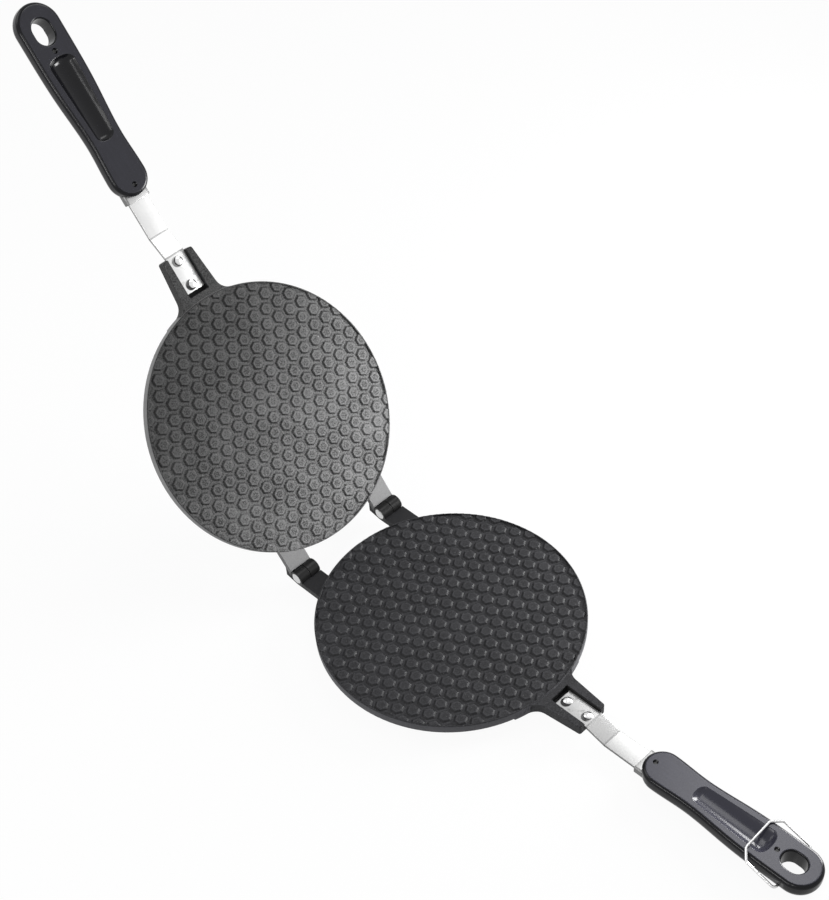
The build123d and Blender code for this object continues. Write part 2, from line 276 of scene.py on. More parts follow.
castCoat = {
    "grain": (1250, 2),
    "fine": (3000, 1),
    "blotch": (40, 4),
    # painted glints: light, smoother specks
    "glint": (1100, 0),
    "glintMask": (0.77, 0.83),
    "toneGrain": 0.7,
    "toneMask": (0.41, 0.59),
    "cellPitch": 9.7 * mm,
    "ragged": 0.5 * mm,
    "honeycomb": (84.0 * mm, 83.7 * mm),
    "cookingFace": (-2.3 * mm, -2.1 * mm),
    "grooveFloor": (4.1 * mm, 4.6 * mm),
    # the groove floors are painted lighter as a painted highlight
    "grooveLightAmount": 0.3,
    "floorTone": 1.35,
    # island brims: partly worn coat, partly painted highlight
    "brimWearAndSheen": (2.25 * mm, 2.85 * mm, 0.5 * mm),
    "brimWearAndSheenAmount": 0.4,
    "brimWearAndSheenTone": 1.5,
    # painted shade: the groove beside each island's foot is darkened
    "foot": (3.45 * mm, 3.8 * mm, 0.4 * mm),
    "footShadeAmount": 0.34,
    "footShadeTone": 0.3,
    # painted light: the colour grows lighter toward the hinge and darker away from it
    "paintedLightAlong": 1.2,
    "paintedLightAcross": 0.65,
    "paintedLightReach": (-120 * mm, 120 * mm),
    # the side wall is painted lighter as a painted highlight
    "wallInside": (84.6 * mm, 84.9 * mm),
    "wallOutside": (85.3 * mm, 85.1 * mm),
    "wallDepth": (-0.6 * mm, -1.4 * mm),
    "wallAmount": 0.5,
    "wallBlotch": 0.6,
    "lugReach": (85.0 * mm, 85.4 * mm),
    "lugStart": (20 * mm, 30 * mm),
    "lugAmount": 0.8,
    # knuckles and pocket walls are painted black as painted shade
    "knuckle": 5.2 * mm,
    "knuckleEdge": 1.04,
    "pocketHalf": (7.6 * mm, 7.4 * mm),
    "pocketDepth": (-1.3 * mm, -1.9 * mm),
    "pocketEnd": (-87 * mm, -89 * mm),
    "shadeBlack": 0.008,
    "roughness": 0.38,
    "roughBlotch": 0.12,
    "roughGrain": 0.14,
    "smoothGlint": 0.1,
    "smoothKnuckle": 0.2,
    "reliefGrain": 0.6,
    "reliefKnuckle": 0.8,
    "reliefDepth": 0.2 * mm,
    "reliefStrength": 0.8,
}

# one casting in both halves: the upper coat, its lugs, wall and glints are painted lighter and the
# lower's darker, as painted light
coats = {
    "lowerCoat": {
        "dark": 0.013, "light": 0.030, "glint": 0.10, "wall": 0.08, "lugs": 0.010,
        "tint": (1.0, 1.0, 1.08), "paintedLight": 0.0, "specular": 0.14,
    },
    "upperCoat": {
        "dark": 0.020, "light": 0.096, "glint": 0.20, "wall": 0.24, "lugs": 0.20,
        "tint": (1.0, 1.0, 1.0), "paintedLight": 0.62, "specular": 0.15,
    },
}


def fromCell(f, x, y):
    # how far a point is from the nearest island's middle, square to the hexagon's flats: the lower
    # of max(u, u/2 + v * root 3 / 2) for the rows through 0 and for those half a pitch over
    pitch = castCoat["cellPitch"]
    tall = math.sqrt(3) / 2
    u = f.maths("PINGPONG", x, pitch / 2)
    v = f.maths("PINGPONG", y, pitch * tall)
    rows = [(u, v), (pitch / 2 - u, pitch * tall - v)]
    flats = [f.maths("MAXIMUM", a, a * 0.5 + b * tall) for a, b in rows]
    return f.maths("MINIMUM", *flats)


def makeCastCoat(name):
    # non-stick coat on a sand-rough casting: painted shade round the islands' feet; their brims are
    # partly worn, partly painted highlight; painted highlight on groove floors and side wall, painted
    # glints;
    # painted light makes it lighter toward the hinge by its share; the lugs have a tone of their own,
    # knuckles and pocket walls are painted black as painted shade
    c, look = castCoat, coats[name]
    dark, light, tint = look["dark"], look["light"], look["tint"]
    f = Finish(bpy.data.materials.new(name))
    place = f.halfPlace()
    x, y, depth = f.axes(place, 0, 1, 2)
    grain, fine, blotch = (f.noise(place, *c[key]) for key in ("grain", "fine", "blotch"))
    glints = f.ramp(f.noise(place, *c["glint"]), *c["glintMask"])
    # painted glints: light specks
    cell = fromCell(f, x, y) + (grain - 0.5) * c["ragged"]
    reach = f.maths("SQRT", x * x + y * y)
    field = f.ramp(reach, *c["honeycomb"]) * f.ramp(depth, *c["cookingFace"])
    wall = f.ramp(reach, *c["wallInside"]) * f.ramp(reach, *c["wallOutside"])
    wall = wall * f.ramp(depth, *c["wallDepth"])
    lugs = f.ramp(reach, *c["lugReach"]) * f.ramp(y, *c["lugStart"])
    foot = f.band(cell, *c["foot"]) * field
    brimWearAndSheen = f.band(cell, *c["brimWearAndSheen"]) * field
    floor = f.ramp(cell, *c["grooveFloor"]) * field
    tone = f.ramp(grain * c["toneGrain"] + blotch * (1 - c["toneGrain"]), *c["toneMask"])
    colour = f.mix(tone, grey(dark, tint), grey(light, tint))
    # painted highlight: groove floors painted lighter
    colour = f.layer(floor, c["grooveLightAmount"], colour, light * c["floorTone"], tint)
    # island brims lighter: partly worn coat, partly painted highlight
    colour = f.layer(brimWearAndSheen, c["brimWearAndSheenAmount"], colour, light * c["brimWearAndSheenTone"], tint)
    # painted shade round the islands' feet
    colour = f.layer(foot, c["footShadeAmount"], colour, dark * c["footShadeTone"], tint)
    colour = f.layer(glints, 1.0, colour, look["glint"])
    # painted light: lighter toward the hinge, darker away from it
    paintedLight = (1 - look["paintedLight"], 1 + look["paintedLight"])
    paintedLightScale = f.ramp(y * c["paintedLightAlong"] - x * c["paintedLightAcross"], *c["paintedLightReach"], *paintedLight)
    colour = f.node("VectorMath", {"operation": "SCALE"}, {0: colour, 3: paintedLightScale})
    # painted highlight on the side wall
    colour = f.layer(wall, blotch * c["wallBlotch"] + c["wallAmount"], colour, look["wall"], tint)
    colour = f.layer(lugs, c["lugAmount"], colour, look["lugs"], tint)
    # painted shade: knuckles and pocket walls painted black
    fromAxis = f.maths("POWER", y - halves["hingeReach"], 2.0) + f.maths("POWER", depth, 2.0)
    knuckle = f.ramp(fromAxis, c["knuckle"]**2 * c["knuckleEdge"], c["knuckle"]**2)
    pocketShade = f.ramp(f.maths("ABSOLUTE", x), *c["pocketHalf"])
    pocketShade = pocketShade * f.ramp(depth, *c["pocketDepth"]) * f.ramp(y, *c["pocketEnd"])
    colour = f.layer(f.maths("MAXIMUM", knuckle, pocketShade), 1.0, colour, c["shadeBlack"])
    rough = blotch * c["roughBlotch"] + grain * c["roughGrain"] + c["roughness"]
    rough = rough - glints * c["smoothGlint"] - knuckle * c["smoothKnuckle"]
    relief = grain * c["reliefGrain"] + fine * (1 - c["reliefGrain"])
    relief = relief * (1 - knuckle * c["reliefKnuckle"])
    normal = f.bump(relief, c["reliefDepth"], c["reliefStrength"])
    sockets = {"Base Color": colour, "Roughness": rough, "Normal": normal}
    return f.surface({**sockets, "Specular IOR Level": look["specular"]})


steelSheet = {
    "streaks": (60, 4, (60, 1.2, 60)),
    "clouds": (70, 3),
    "cloudTone": 0.92,
    "warm": (1, 1, 0.995),
    "folds": (-116.4 * mm, -130.6 * mm),
    "foldHalf": 0.3 * mm,
    "foldSoft": 0.5 * mm,
    "foldAmount": 0.8,
    "foldTone": 0.4,
    "sheared": (6.72 * mm, 7.05 * mm),
    "shearedAmount": 0.8,
    "shearedTone": 0.3,
    "inFork": (-116.5 * mm, -112.5 * mm),
    "stains": (420, 3),
    "stainMask": (0.55, 0.70),
    "stainAmount": 0.6,
    "stainTone": 0.45,
    "stainTint": (1, 1, 0.97),
    "rivetMiddle": -103.7 * mm,
    "rivetHalf": 8.0 * mm,
    # painted shadow round the rivet heads, a dark crescent on one side
    "rivetShadow": (3.6 * mm, 3.1 * mm),
    "rivetShadowCover": (0.4, 0.6, 0.7, 1.0),
    "rivetShadowTone": 0.03,
    "roughness": 0.22,
    "roughStreaks": 0.14,
    "roughClouds": 0.06,
    "roughMarks": 0.1,
    "roughSheared": 0.15,
    "scratchDepth": 0.012 * mm,
    "scratchStrength": 0.5,
}

# one stainless: the lower strap and collar are painted darker and the upper strap lighter, as painted
# light
sheets = {
    "lowerSteel": {"tone": 0.36, "shadowShift": -1.3 * mm},
    "upperSteel": {"tone": 0.66, "shadowShift": 1.3 * mm},
    "collarSteel": {"tone": 0.42, "shadowShift": 0.0},
}


def aroundRivet(f, place, shadowShift):
    # distance from the nearer rivet's axis, moved sideways by the shift of the painted shadow: both
    # rivets fold onto one
    x, y = f.axes(place, 0, 1)
    y = f.maths("ABSOLUTE", y - steelSheet["rivetMiddle"]) - steelSheet["rivetHalf"]
    x = x - shadowShift
    return f.maths("SQRT", x * x + y * y)


def makeSteelSheet(name):
    # rolled stainless strip: fine lines along it, dull sheared sides, worn folds, painted shadow
    # crescents by the rivets on the side that the shift names, small stains where it lies in the fork
    c, tone = steelSheet, sheets[name]["tone"]
    f = Finish(bpy.data.materials.new(name))
    place = f.halfPlace()
    across, along = f.axes(place, 0, 1)
    streaks = f.noise(place, *c["streaks"])
    clouds = f.noise(place, *c["clouds"])
    half, soft = c["foldHalf"], c["foldSoft"]
    folds = sum(f.band(along, fold - half, fold + half, soft) for fold in c["folds"])
    sheared = f.ramp(f.maths("ABSOLUTE", across), *c["sheared"])
    inFork = f.ramp(along, *c["inFork"])
    stains = f.ramp(f.noise(place, *c["stains"]), *c["stainMask"]) * inFork
    # painted shadow of the rivet heads on the strap
    rivetShadow = f.ramp(aroundRivet(f, place, sheets[name]["shadowShift"]), *c["rivetShadow"]) * inFork
    colour = f.mix(clouds * 0.5 + streaks * 0.5, grey(tone * c["cloudTone"]), grey(tone, c["warm"]))
    colour = f.layer(folds, c["foldAmount"], colour, tone * c["foldTone"])
    colour = f.layer(stains, c["stainAmount"], colour, tone * c["stainTone"], c["stainTint"])
    colour = f.layer(rivetShadow, f.ramp(clouds, *c["rivetShadowCover"]), colour, c["rivetShadowTone"])
    colour = f.layer(sheared, c["shearedAmount"], colour, tone * c["shearedTone"])
    rough = streaks * c["roughStreaks"] + clouds * c["roughClouds"] + c["roughness"]
    rough = rough + (folds + stains) * c["roughMarks"] + sheared * c["roughSheared"]
    normal = f.bump(streaks, c["scratchDepth"], c["scratchStrength"])
    return f.surface({"Base Color": colour, "Metallic": 1.0, "Roughness": rough, "Normal": normal})


turnedSteel = {
    "marks": (900, 3),
    "patches": (160, 2),
    "patchTone": 0.8,
    # painted shade on one side of the rivet heads
    "worn": (2.7 * mm, 3.4 * mm),
    "headShadeTone": 0.04,
    "roughPatches": 0.1,
    "roughMarks": 0.06,
    "markDepth": 0.008 * mm,
    "markStrength": 0.5,
}

steels = {
    # the rivets' shift places their painted shade on one side of the head
    "lowerRivetSteel": {"tone": 0.78, "roughness": 0.18, "metal": 1.0, "shadowShift": -0.8 * mm},
    "upperRivetSteel": {"tone": 0.78, "roughness": 0.18, "metal": 1.0, "shadowShift": 0.8 * mm},
    "brightSteel": {"tone": 0.66, "roughness": 0.14, "metal": 1.0, "shadowShift": None},
    "darkSteel": {"tone": 0.02, "roughness": 0.35, "metal": 0.0, "shadowShift": None},
}


def makeTurnedSteel(name):
    # drawn wire and turned pins: fine handling marks, dull patches; rivets with a shift have painted
    # shade on that side of the head
    c, look = turnedSteel, steels[name]
    tone, shadowShift = look["tone"], look["shadowShift"]
    f = Finish(bpy.data.materials.new(name))
    place = f.halfPlace()
    marks = f.noise(place, *c["marks"])
    patches = f.noise(place, *c["patches"])
    colour = f.mix(patches, grey(tone * c["patchTone"]), grey(tone))
    if shadowShift is not None:
        # painted shade on one side of the head
        worn = f.ramp(aroundRivet(f, place, -shadowShift), *c["worn"])
        colour = f.layer(worn, 1.0, colour, tone * c["headShadeTone"])
    rough = patches * c["roughPatches"] + marks * c["roughMarks"] + look["roughness"]
    normal = f.bump(marks, c["markDepth"], c["markStrength"])
    sockets = {"Base Color": colour, "Roughness": rough, "Normal": normal}
    return f.surface({**sockets, "Metallic": look["metal"]})


bakelite = {
    "tint": (0.92, 0.92, 1.28),
    "side": 0.003,
    "sideRubbed": 2,
    "faceMask": (-1.24 * mm, -1.13 * mm),
    "faceDark": 0.6,
    "faceLight": 1.45,
    "faceRubs": 0.6,
    "scoopSide": (9.8 * mm, 9.4 * mm),
    "scoopLength": (-246.0 * mm, -191.0 * mm, 0.3 * mm),
    "scoopDepth": (-6.5 * mm, -6.0 * mm),
    "grain": (2400, 2),
    "waves": (120, 2),
    "rubs": (60, 4, (9, 1, 9)),
    "dust": (1500, 1),
    "dustMask": (0.78, 0.84),
    "dustAmount": 0.3,
    "dustTone": 0.1,
    "roughness": 0.12,
    "roughRubs": 0.08,
    "roughFace": 0.16,
    "roughGrain": 0.1,
    "waveDepth": 0.06 * mm,
    "waveStrength": 0.12,
    "grainDepth": 0.03 * mm,
    "grainStrength": 0.6,
    "specular": 0.05,
    "coat": 0.25,
    "coatFace": 0.3,
    "coatScoop": 0.15,
    "coatRoughness": 0.22,
}

# one moulding: the lower grip's face and scoop are painted lighter and the upper's darker, as painted
# light
plastics = {
    "lowerBakelite": {"face": 0.034, "scoop": 0.036},
    "upperBakelite": {"face": 0.013, "scoop": 0.003},
}


def makeBakelite(name):
    # moulded grip: satin, slightly rubbed flat face whose lighter tone is partly painted sheen;
    # polished scoop, on the lower grip painted lighter as a painted reflection; black sides with flow
    # waves
    c, level, tint = bakelite, plastics[name]["face"], bakelite["tint"]
    f = Finish(bpy.data.materials.new(name))
    place = f.halfPlace()
    across, along, depth = f.axes(place, 0, 1, 2)
    face = f.ramp(depth, *c["faceMask"])
    scoop = f.ramp(f.maths("ABSOLUTE", across), *c["scoopSide"])
    scoop = scoop * f.band(along, *c["scoopLength"]) * f.ramp(depth, *c["scoopDepth"]) * (1 - face)
    grain, waves, rubs = (f.noise(place, *c[key]) for key in ("grain", "waves", "rubs"))
    dust = f.ramp(f.noise(place, *c["dust"]), *c["dustMask"])
    sides = f.mix(rubs, grey(c["side"], tint), grey(c["side"] * c["sideRubbed"], tint))
    # painted reflection: the lower grip's scoop is painted lighter
    sides = f.layer(scoop, 1.0, sides, plastics[name]["scoop"], tint)
    worn = rubs * c["faceRubs"] + grain * (1 - c["faceRubs"])
    # face lighter than the sides: partly satin rubbing, partly painted sheen
    faceSatinAndSheen = f.mix(worn, grey(level * c["faceDark"], tint), grey(level * c["faceLight"], tint))
    colour = f.layer(dust, c["dustAmount"], f.mix(face, sides, faceSatinAndSheen), c["dustTone"])
    rough = rubs * c["roughRubs"] + c["roughness"]
    rough = rough + face * c["roughFace"] + face * grain * c["roughGrain"]
    normal = f.bump(waves, c["waveDepth"], c["waveStrength"])
    normal = f.bump(grain * face, c["grainDepth"], c["grainStrength"], normal)
    coat = face * c["coatFace"] + scoop * c["coatScoop"] + c["coat"]
    return f.surface({
        "Base Color": colour, "Roughness": rough, "Normal": normal, "Coat Weight": coat,
        "Specular IOR Level": c["specular"], "Coat Roughness": c["coatRoughness"],
    })


makers = {makeCastCoat: coats, makeSteelSheet: sheets, makeTurnedSteel: steels, makeBakelite: plastics}
finishes = {name: make(name) for make, looks in makers.items() for name in looks}
print("finishes made")


# Cast plates: the CAD castings with their edges eased as sand casting and coat leave them

casting = {
    "honeycombEase": 0.2 * mm,
    "segments": 3,
    "rimInner": 84.2 * mm,
    "shortest": 0.7 * mm,
    "outerWeight": 0.9,
    "lugInner": 86.5 * mm,
    "level": 0.9999,
}


def mergedCopy(node, half, name, body, finish):
    # the CAD node's mesh with its points merged, so that modifiers can finish it
    shape = bmesh.new()
    shape.from_mesh(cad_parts[node].data)
    bmesh.ops.remove_doubles(shape, verts=shape.verts, dist=mergeBelow)
    mesh = bpy.data.meshes.new(name)
    shape.to_mesh(mesh)
    shape.free()
    mesh.materials.clear()
    keepHalfPlace(mesh, toHalf(read(mesh.vertices, "co", 3, float), half))
    mesh.shade_smooth()
    mesh.set_sharp_from_angle(angle=smoothBelow)
    return addPiece(name, mesh, body, [node], finish)


def polygonOfCorner(mesh):
    # each corner's polygon, by number
    return np.repeat(np.arange(len(mesh.polygons)), read(mesh.polygons, "loop_total", kind=np.int32))


def foldedEdges(mesh):
    # edges whose two polygons turn by 30 degrees or more: a closed mesh has two corners at each
    # edge, so the corners in the order of their edges give both polygons of each
    order = np.argsort(read(mesh.loops, "edge_index", kind=np.int32), kind="stable")
    pairs = read(mesh.polygons, "normal", 3)[polygonOfCorner(mesh)[order].reshape(-1, 2)]
    return (pairs[:, 0] * pairs[:, 1]).sum(1) < math.cos(smoothBelow)


def edgeWeights(mesh):
    # how far each edge is eased: not at all where it is nearly flat, fully on the honeycomb, less on
    # the fork and the lugs' free ends, and not where those meet the disc
    ends = halfPlaces(mesh)[read(mesh.edges, "vertices", 2, np.int32)]
    reach = np.hypot(ends[..., 0], ends[..., 1])
    length = np.linalg.norm(ends[:, 0] - ends[:, 1], axis=1)
    inDisc = (reach.max(1) < casting["rimInner"]) & (length > casting["shortest"])
    free = reach.min(1) > casting["lugInner"]
    weight = np.where(inDisc, 1.0, np.where(free, casting["outerWeight"], 0.0))
    return np.where(foldedEdges(mesh), weight, 0.0)


def cornersOf(mesh, half):
    # each corner's point and normal, how level its polygon lies (1 facing up, -1 down), what is up
    ends = toRow(np.array([[0, 0, 1.0], [0, 0, 0]]), half)
    up = ends[0] - ends[1]
    point = read(mesh.loops, "vertex_index", kind=np.int32)
    lies = (read(mesh.polygons, "normal", 3) @ up)[polygonOfCorner(mesh)]
    return point, read(mesh.corner_normals, "vector", 3), lies, up


def levelNormals(mesh, half):
    # corners on a level face take its normal, unless their polygon leans away by 30 degrees
    point, normals, lies, up = cornersOf(mesh, half)
    for side in (1, -1):
        onFace = np.zeros(len(mesh.vertices), bool)
        onFace[point[lies * side > casting["level"]]] = True
        normals[onFace[point] & (lies * side > math.cos(smoothBelow))] = up * side
    mesh.normals_split_custom_set(normals.tolist())


for half, body in halves["bodies"].items():
    piece = mergedCopy(f"{half}_plate", half, f"{half}Casting", body, finishes[f"{half}Coat"])
    levelNormals(piece.data, half)
    weights = piece.data.attributes.new("bevel_weight_edge", "FLOAT", "EDGE")
    weights.data.foreach_set("value", edgeWeights(piece.data).astype(np.float32))
    bevel = piece.modifiers.new("easedEdges", "BEVEL")
    bevel.width = casting["honeycombEase"]
    bevel.segments = casting["segments"]
    bevel.limit_method = "WEIGHT"
    bevel.use_clamp_overlap = False
    bevel.harden_normals = True
print("castings eased")


# Steel straps: a rounded flat section carried along the folded middle line

strap = {
    "halfWidth": 7.0 * mm,
    "halfThickness": 1.0 * mm,
    "edgeRound": 0.32 * mm,
    "endRound": 0.6 * mm,
    "line": [(-91.6, -4.6), (-116.4, -4.6), (-130.6, -9.0), (-252.5, -9.0)],  # (y, depth) in mm
    "bendRadius": 3.5 * mm,
    "endThin": 0.7,
    "bendSteps": 12,
    "endSteps": 8,
    "cornerSteps": 5,
}


def strapRows():
    # rows along the line; near each end the width follows the round of the corners
    c = strap
    steps = c["endSteps"]
    line = roundedPath(np.array(c["line"]) * mm, c["bendRadius"], c["bendSteps"])
    paintedLight = c["endRound"] * (1 - np.cos(np.linspace(0, math.pi / 2, steps)))
    front = line[:1] + np.outer(paintedLight, [-1, 0])
    rear = line[-1:] + np.outer(paintedLight[::-1], [1, 0])
    line = np.concatenate([front[:1], front, line[1:-1], rear, rear[-1:]])
    narrow = c["endRound"] - np.sqrt(c["endRound"]**2 - (c["endRound"] - paintedLight)**2)
    inset = np.zeros(len(line))
    inset[1:steps + 1], inset[-steps - 1:-1] = narrow, narrow[::-1]
    inset[0] = inset[-1] = c["endRound"] + c["edgeRound"] / 2
    thin = np.zeros(len(line))
    thin[0] = thin[-1] = c["edgeRound"] * c["endThin"]
    along = np.gradient(line, axis=0)
    along[0], along[-1] = along[2], along[-3]
    along = along / np.linalg.norm(along, axis=1, keepdims=True)
    off = np.stack([along[:, 1], -along[:, 0]], 1)
    section = roundedRectangle(c["halfWidth"], c["halfThickness"], c["edgeRound"], c["cornerSteps"])
    wide = np.sign(section[:, 0]) * (np.abs(section[:, 0]) - inset[:, None])
    high = np.sign(section[:, 1]) * (np.abs(section[:, 1]) - thin[:, None])
    y = line[:, :1] + off[:, :1] * high
    z = line[:, 1:] + off[:, 1:] * high
    return np.stack([wide, y, z], -1)


for half, body in halves["bodies"].items():
    mesh = gridMesh(f"{half}StrapSteel", strapRows(), half)
    addPiece(f"{half}StrapSteel", mesh, body, [f"{half}_strap"], finishes[f"{half}Steel"])
print("straps bent")


# Collars: an endless skin from the inner opening over the front edge, outside and rear edge

collar = {
    "outer": (8.5 * mm, 2.6 * mm, 1.2 * mm),
    "inner": (7.1 * mm, 1.1 * mm, 0.2 * mm),
    "front": -153.9 * mm,
    "rear": -161.7 * mm,
    "depth": -9.0 * mm,
    "edge": 0.4 * mm,
    "edgeShare": 0.27,
    "edgeSteps": 5,
    "cornerSteps": 8,
}


def collarRows():
    # each row blends from the inner outline (0) to the outer one (1) at a place along the strap
    c = collar
    inner = roundedRectangle(*c["inner"], c["cornerSteps"])
    outer = roundedRectangle(*c["outer"], c["cornerSteps"])
    turn = np.linspace(0, math.pi / 2, c["edgeSteps"])
    share = 1 - c["edgeShare"] * (1 - np.sin(turn))
    lip = c["edge"] * (1 - np.cos(turn))
    blend = np.concatenate([[0], share, share[::-1], [0]])
    along = np.concatenate([[c["front"]], c["front"] - lip, c["rear"] + lip[::-1], [c["rear"]]])
    outline = inner + (outer - inner) * blend[:, None, None]
    y = np.repeat(along[:, None], len(inner), 1)
    return np.stack([outline[..., 0], y, outline[..., 1] + c["depth"]], -1)


for half, body in halves["bodies"].items():
    mesh = gridMesh(f"{half}CollarSteel", collarRows(), half, endless=True)
    addPiece(f"{half}CollarSteel", mesh, body, [f"{half}_collar"], finishes["collarSteel"])
print("collars made")


# Handles: the CAD shape, with level shading over the flat inner face

grip = {"faceDepth": -1.1 * mm, "near": 0.01 * mm, "leastLevel": 0.5}


def flatFaceNormals(mesh, half):
    # corners on the inner face take its normal, unless their polygon leans away by 60 degrees
    point, normals, lies, up = cornersOf(mesh, half)
    onFace = np.abs(halfPlaces(mesh)[:, 2] - grip["faceDepth"]) < grip["near"]
    normals[onFace[point] & (lies > grip["leastLevel"])] = up
    mesh.normals_split_custom_set(normals.tolist())


for half, body in halves["bodies"].items():
    finish = finishes[f"{half}Bakelite"]
    piece = mergedCopy(f"{half}_handle", half, f"{half}Grip", body, finish)
    flatFaceNormals(piece.data, half)
print("grips made")


# Rivets, the pins in the handles and the hinge pins, all turned

turned = {
    "rivetPlaces": {"inner": -95.7 * mm, "outer": -111.7 * mm},
    "rivetHead": (3.1 * mm, 1.1 * mm),
    "rivetTop": -3.6 * mm,
    "rivetShank": 1.6 * mm,
    "rivetBottom": -7.8 * mm,
    "rivetTail": (2.8 * mm, 0.9 * mm),
    "pinPlaces": {"front": -163.0 * mm, "rear": -249.1 * mm},
    "pinRadius": 1.25 * mm,
    "pinTop": -2.5 * mm,
    "pinBottom": -12.1 * mm,
    "pinChamfer": 0.25 * mm,
    "hingeMiddles": {"left": -37 * mm, "right": 37 * mm},
    "hingeHead": (3.6 * mm, 1.1 * mm),
    "hingeShank": 2.4 * mm,
    "hingeHalf": 8.0 * mm,
    "hingePlay": 0.1 * mm,
    "hingePeen": (3.2 * mm, 0.8 * mm),
    "tinyRound": 0.15 * mm,
    "crown": 0.04,
    "headSteps": 12,
    "around": 48,
}


def rivetProfile():
    # (radius, height) from the round head down the straight shank to the flat tail
    c = turned
    head = dome(*c["rivetHead"], c["crown"], c["headSteps"]) + [0, c["rivetTop"]]
    tail, deep = c["rivetTail"]
    low, soft = c["rivetBottom"], c["tinyRound"]
    shank = [(c["rivetShank"], c["rivetTop"]), (c["rivetShank"], low)]
    foot = [(tail, low), (tail, low - deep + soft), (tail - soft, low - deep), (soft, low - deep)]
    return [*head, *shank, *foot]


def pinProfile():
    # (radius, height) down a straight pin with a chamfer at both ends
    c = turned
    r, k = c["pinRadius"], c["pinChamfer"]
    top, bottom = c["pinTop"], c["pinBottom"]
    return [(k, top), (r - k, top), (r, top - k), (r, bottom + k), (r - k, bottom), (k, bottom)]


def hingePinProfile():
    # (radius, place along the hinge) from the round head over the shank to the peened end
    c = turned
    head = dome(*c["hingeHead"], c["crown"], c["headSteps"]) * [1, -1] - [0, c["hingeHalf"]]
    end = c["hingeHalf"] + c["hingePlay"]
    peen, high = c["hingePeen"]
    shank = [(c["hingeShank"], -c["hingeHalf"]), (c["hingeShank"], end)]
    return [*head, *shank, (peen, end), (c["hingeShank"], end + high), (c["tinyRound"], end + high)]


def addTurned(name, node, rows, half, body, finish):
    addPiece(name, gridMesh(name, rows, half), body, [node], finishes[finish])


for half, body in halves["bodies"].items():
    for place, y in turned["rivetPlaces"].items():
        name, node = f"{half}Rivet{place.capitalize()}", f"{half}_rivet_{place}"
        rows = lathe(rivetProfile(), (0, y, 0), "z", turned["around"])
        addTurned(name, node, rows, half, body, f"{half}RivetSteel")
    for place, y in turned["pinPlaces"].items():
        name, node = f"{half}GripPin{place.capitalize()}", f"{half}_handle_pin_{place}"
        rows = lathe(pinProfile(), (0, y, 0), "z", turned["around"])
        addTurned(name, node, rows, half, body, "darkSteel")

for side, x in turned["hingeMiddles"].items():
    name, node = f"hingePin{side.capitalize()}", f"hinge_pin_{side}"
    rows = lathe(hingePinProfile(), (x, halves["hingeReach"], 0), "x", turned["around"])
    addTurned(name, node, rows, "lower", "lower", "brightSteel")
print("rivets and pins turned")


# Wire latch: a round section carried round the bent line of the bail

latch = {
    "wireRadius": 0.8 * mm,
    "elbow": 2.4 * mm,
    "pivot": (-261.0 * mm, -7.7 * mm),
    "barFromPivot": (25.2 * mm, 7.7 * mm),
    "pivotEnd": 9.45 * mm,
    "armX": 17.5 * mm,
    "barHalf": 11.0 * mm,
    "bevelDrop": 5.6 * mm,
    "tip": 0.2 * mm,
    "bendSteps": 12,
    "around": 20,
}


def latchRows():
    # the line lies in a plane through the pivot; a circle of the wire's radius stands across it
    c = latch
    length = math.hypot(*c["barFromPivot"])
    arm = [(c["armX"], 0), (c["armX"], length - c["bevelDrop"])]
    side = [(c["pivotEnd"], 0), *arm, (c["barHalf"], length)]
    corners = [(-x, v) for x, v in side] + side[::-1]
    line = roundedPath(corners, c["elbow"], c["bendSteps"])
    start, end = line[:1], line[-1:]
    line = np.concatenate([start, start + [-c["tip"], 0], line[1:-1], end + [c["tip"], 0], end])
    along = np.gradient(line, axis=0)
    along[[0, 1]], along[[-2, -1]] = (-1, 0), (-1, 0)
    along = along / np.linalg.norm(along, axis=1, keepdims=True)
    radius = np.full(len(line), c["wireRadius"])
    radius[[0, -1]] = c["wireRadius"] - c["tip"]
    turn = np.linspace(0, 2 * math.pi, c["around"], endpoint=False)
    inPlane = np.stack([-along[:, 1], along[:, 0]], 1)
    flat = line[:, None] + (radius[:, None] * np.cos(turn))[..., None] * inPlane[:, None]
    off = radius[:, None] * np.sin(turn)
    rise = np.array(c["barFromPivot"]) / length
    y = c["pivot"][0] + flat[..., 1] * rise[0] - off * rise[1]
    z = c["pivot"][1] + flat[..., 1] * rise[1] + off * rise[0]
    return np.stack([flat[..., 0], y, z], -1)


mesh = gridMesh("latchWire", latchRows(), "lower")
addPiece("latchWire", mesh, "latch", ["latch_bail"], finishes["brightSteel"])
print("latch bent")


# Floor, world and lamps

stage = {
    "floorSize": 12.0,
    "floorTone": 0.80,
    "clouds": (6, 2),
    "cloudTone": 0.985,
    "glowShare": 0.94,
    "worldTone": (0.17, 0.172, 0.18, 1),
    "white": (1, 1, 1, 1),
}


def seenDirectly(f):
    # 1 for what the camera sees, also through or in a shiny surface
    kinds = ("Is Camera Ray", "Is Glossy Ray", "Is Transmission Ray")
    rays = [f.node("LightPath", {}, {}, out) for out in kinds]
    return f.maths("MINIMUM", rays[0] + rays[1] + rays[2], 1.0)


def makeFloorFinish():
    # pale matt floor; what the camera and shiny surfaces see is mostly white glow under the shadow
    f = Finish(bpy.data.materials.new("paleFloor"))
    place = f.node("TexCoord", {}, {}, 3)
    clouds = f.noise(place, *stage["clouds"])
    tone = stage["floorTone"]
    colour = f.mix(clouds, grey(tone * stage["cloudTone"]), grey(tone))
    matt = f.node("BsdfDiffuse", {}, {"Color": colour})
    glow = f.node("Emission", {}, {"Color": stage["white"], "Strength": 1.0})
    mixed = f.node("MixShader", {}, {0: seenDirectly(f) * stage["glowShare"], 1: matt, 2: glow})
    f.node("OutputMaterial", {}, {"Surface": mixed})
    return f.owner


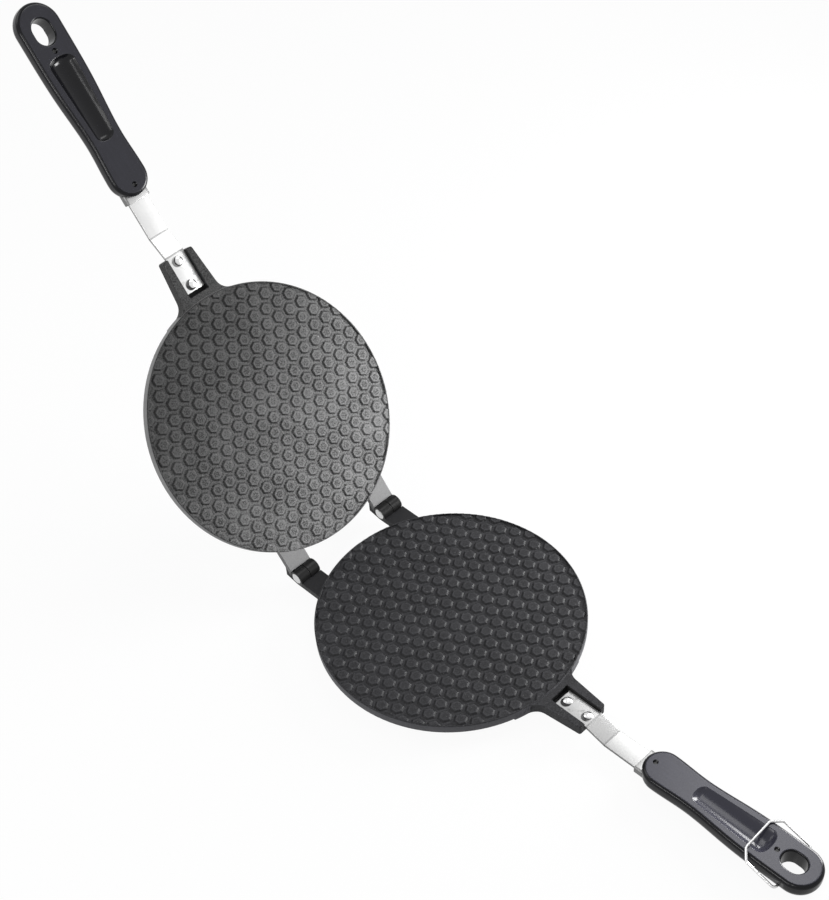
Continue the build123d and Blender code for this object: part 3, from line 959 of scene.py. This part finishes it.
def makeWorld():
    # the camera and shiny surfaces see white, everything else is lit by a dim even tone
    f = Finish(bpy.data.worlds.new("studio"))
    fill = f.node("Background", {}, {"Color": stage["worldTone"], "Strength": 1.0})
    white = f.node("Background", {}, {"Color": stage["white"], "Strength": 1.0})
    both = f.node("MixShader", {}, {0: seenDirectly(f), 1: fill, 2: white})
    f.node("OutputWorld", {}, {"Surface": both})
    return f.owner


floorMesh = bpy.data.meshes.new("floor")
far = stage["floorSize"] / 2
corners = [(-far, -far, 0), (far, -far, 0), (far, far, 0), (-far, far, 0)]
floorMesh.from_pydata(corners, [], [(0, 1, 2, 3)])
floorMesh.materials.append(makeFloorFinish())
floor = bpy.data.objects.new("floor", floorMesh)
bpy.context.scene.collection.objects.link(floor)
bpy.context.scene.world = makeWorld()

lamps = {
    "sideSoftbox": {
        "from": (0.51, -0.22, 0.16), "at": (0, 0.14, 0.08), "size": (0.3, 0.3), "power": 8.4,
    },
    "handleSoftbox": {
        "from": (0.65, 0.10, 1.17), "at": (0, -0.20, 0.0), "size": (0.3, 1.0), "power": 5.0,
    },
    "backSoftbox": {
        "from": (-0.5, 1.0, 1.2), "at": (0, 0.0, 0.0), "size": (0.9, 0.9), "power": 7.0,
    },
    "edgeSoftbox": {
        "from": (-1.05, 0.0, 0.58), "at": (0, 0.0, 0.1), "size": (0.5, 0.15), "power": 4.0,
    },
    "scoopSoftbox": {
        "from": (-0.78, -0.44, 0.82), "at": (0, 0.2, 0.2), "size": (0.1, 0.4), "power": 1.5,
    },
}
for name, c in lamps.items():
    lamp = bpy.data.lights.new(name, "AREA")
    lamp.shape = "RECTANGLE"
    lamp.size, lamp.size_y = c["size"]
    lamp.energy = c["power"]
    held = bpy.data.objects.new(name, lamp)
    held.location = c["from"]
    held.rotation_euler = (Vector(c["at"]) - Vector(c["from"])).to_track_quat("-Z", "Y").to_euler()
    held.visible_camera = False
    bpy.context.scene.collection.objects.link(held)
print("stage lit")


# Camera, solved on the plates' rims, the hinge and the handles

view = {
    "azimuth": -45.744,
    "elevation": 49.651,
    "roll": -1.846,
    "distance": 1.0238,
    "target": (0.02947, -0.00169, 0.03173),
    "lens": 65.986,
    "sensor": 36,
    "shift": (-0.078, 0.1336),
    "clip": (0.05, 50),
}


def placeCamera():
    # looks along -back at the target from the distance, with level and rise turned by the roll
    a, e, t = (math.radians(view[k]) for k in ("azimuth", "elevation", "roll"))
    back = Vector((math.sin(a) * math.cos(e), -math.cos(a) * math.cos(e), math.sin(e)))
    level = Vector((math.cos(a), math.sin(a), 0))
    rise = back.cross(level)
    right = math.cos(t) * level + math.sin(t) * rise
    up = -math.sin(t) * level + math.cos(t) * rise
    data = bpy.data.cameras.new("camera")
    data.sensor_width = view["sensor"]
    data.lens = view["lens"]
    data.shift_x, data.shift_y = view["shift"]
    data.clip_start, data.clip_end = view["clip"]
    camera = bpy.data.objects.new("camera", data)
    stand = Vector(view["target"]) + back * view["distance"]
    rows = [(right[i], up[i], back[i], stand[i]) for i in range(3)]
    camera.matrix_world = Matrix((*rows, (0, 0, 0, 1)))
    bpy.context.scene.collection.objects.link(camera)
    bpy.context.scene.camera = camera


placeCamera()
bpy.context.scene.view_settings.view_transform = "Standard"

print("scene ready")
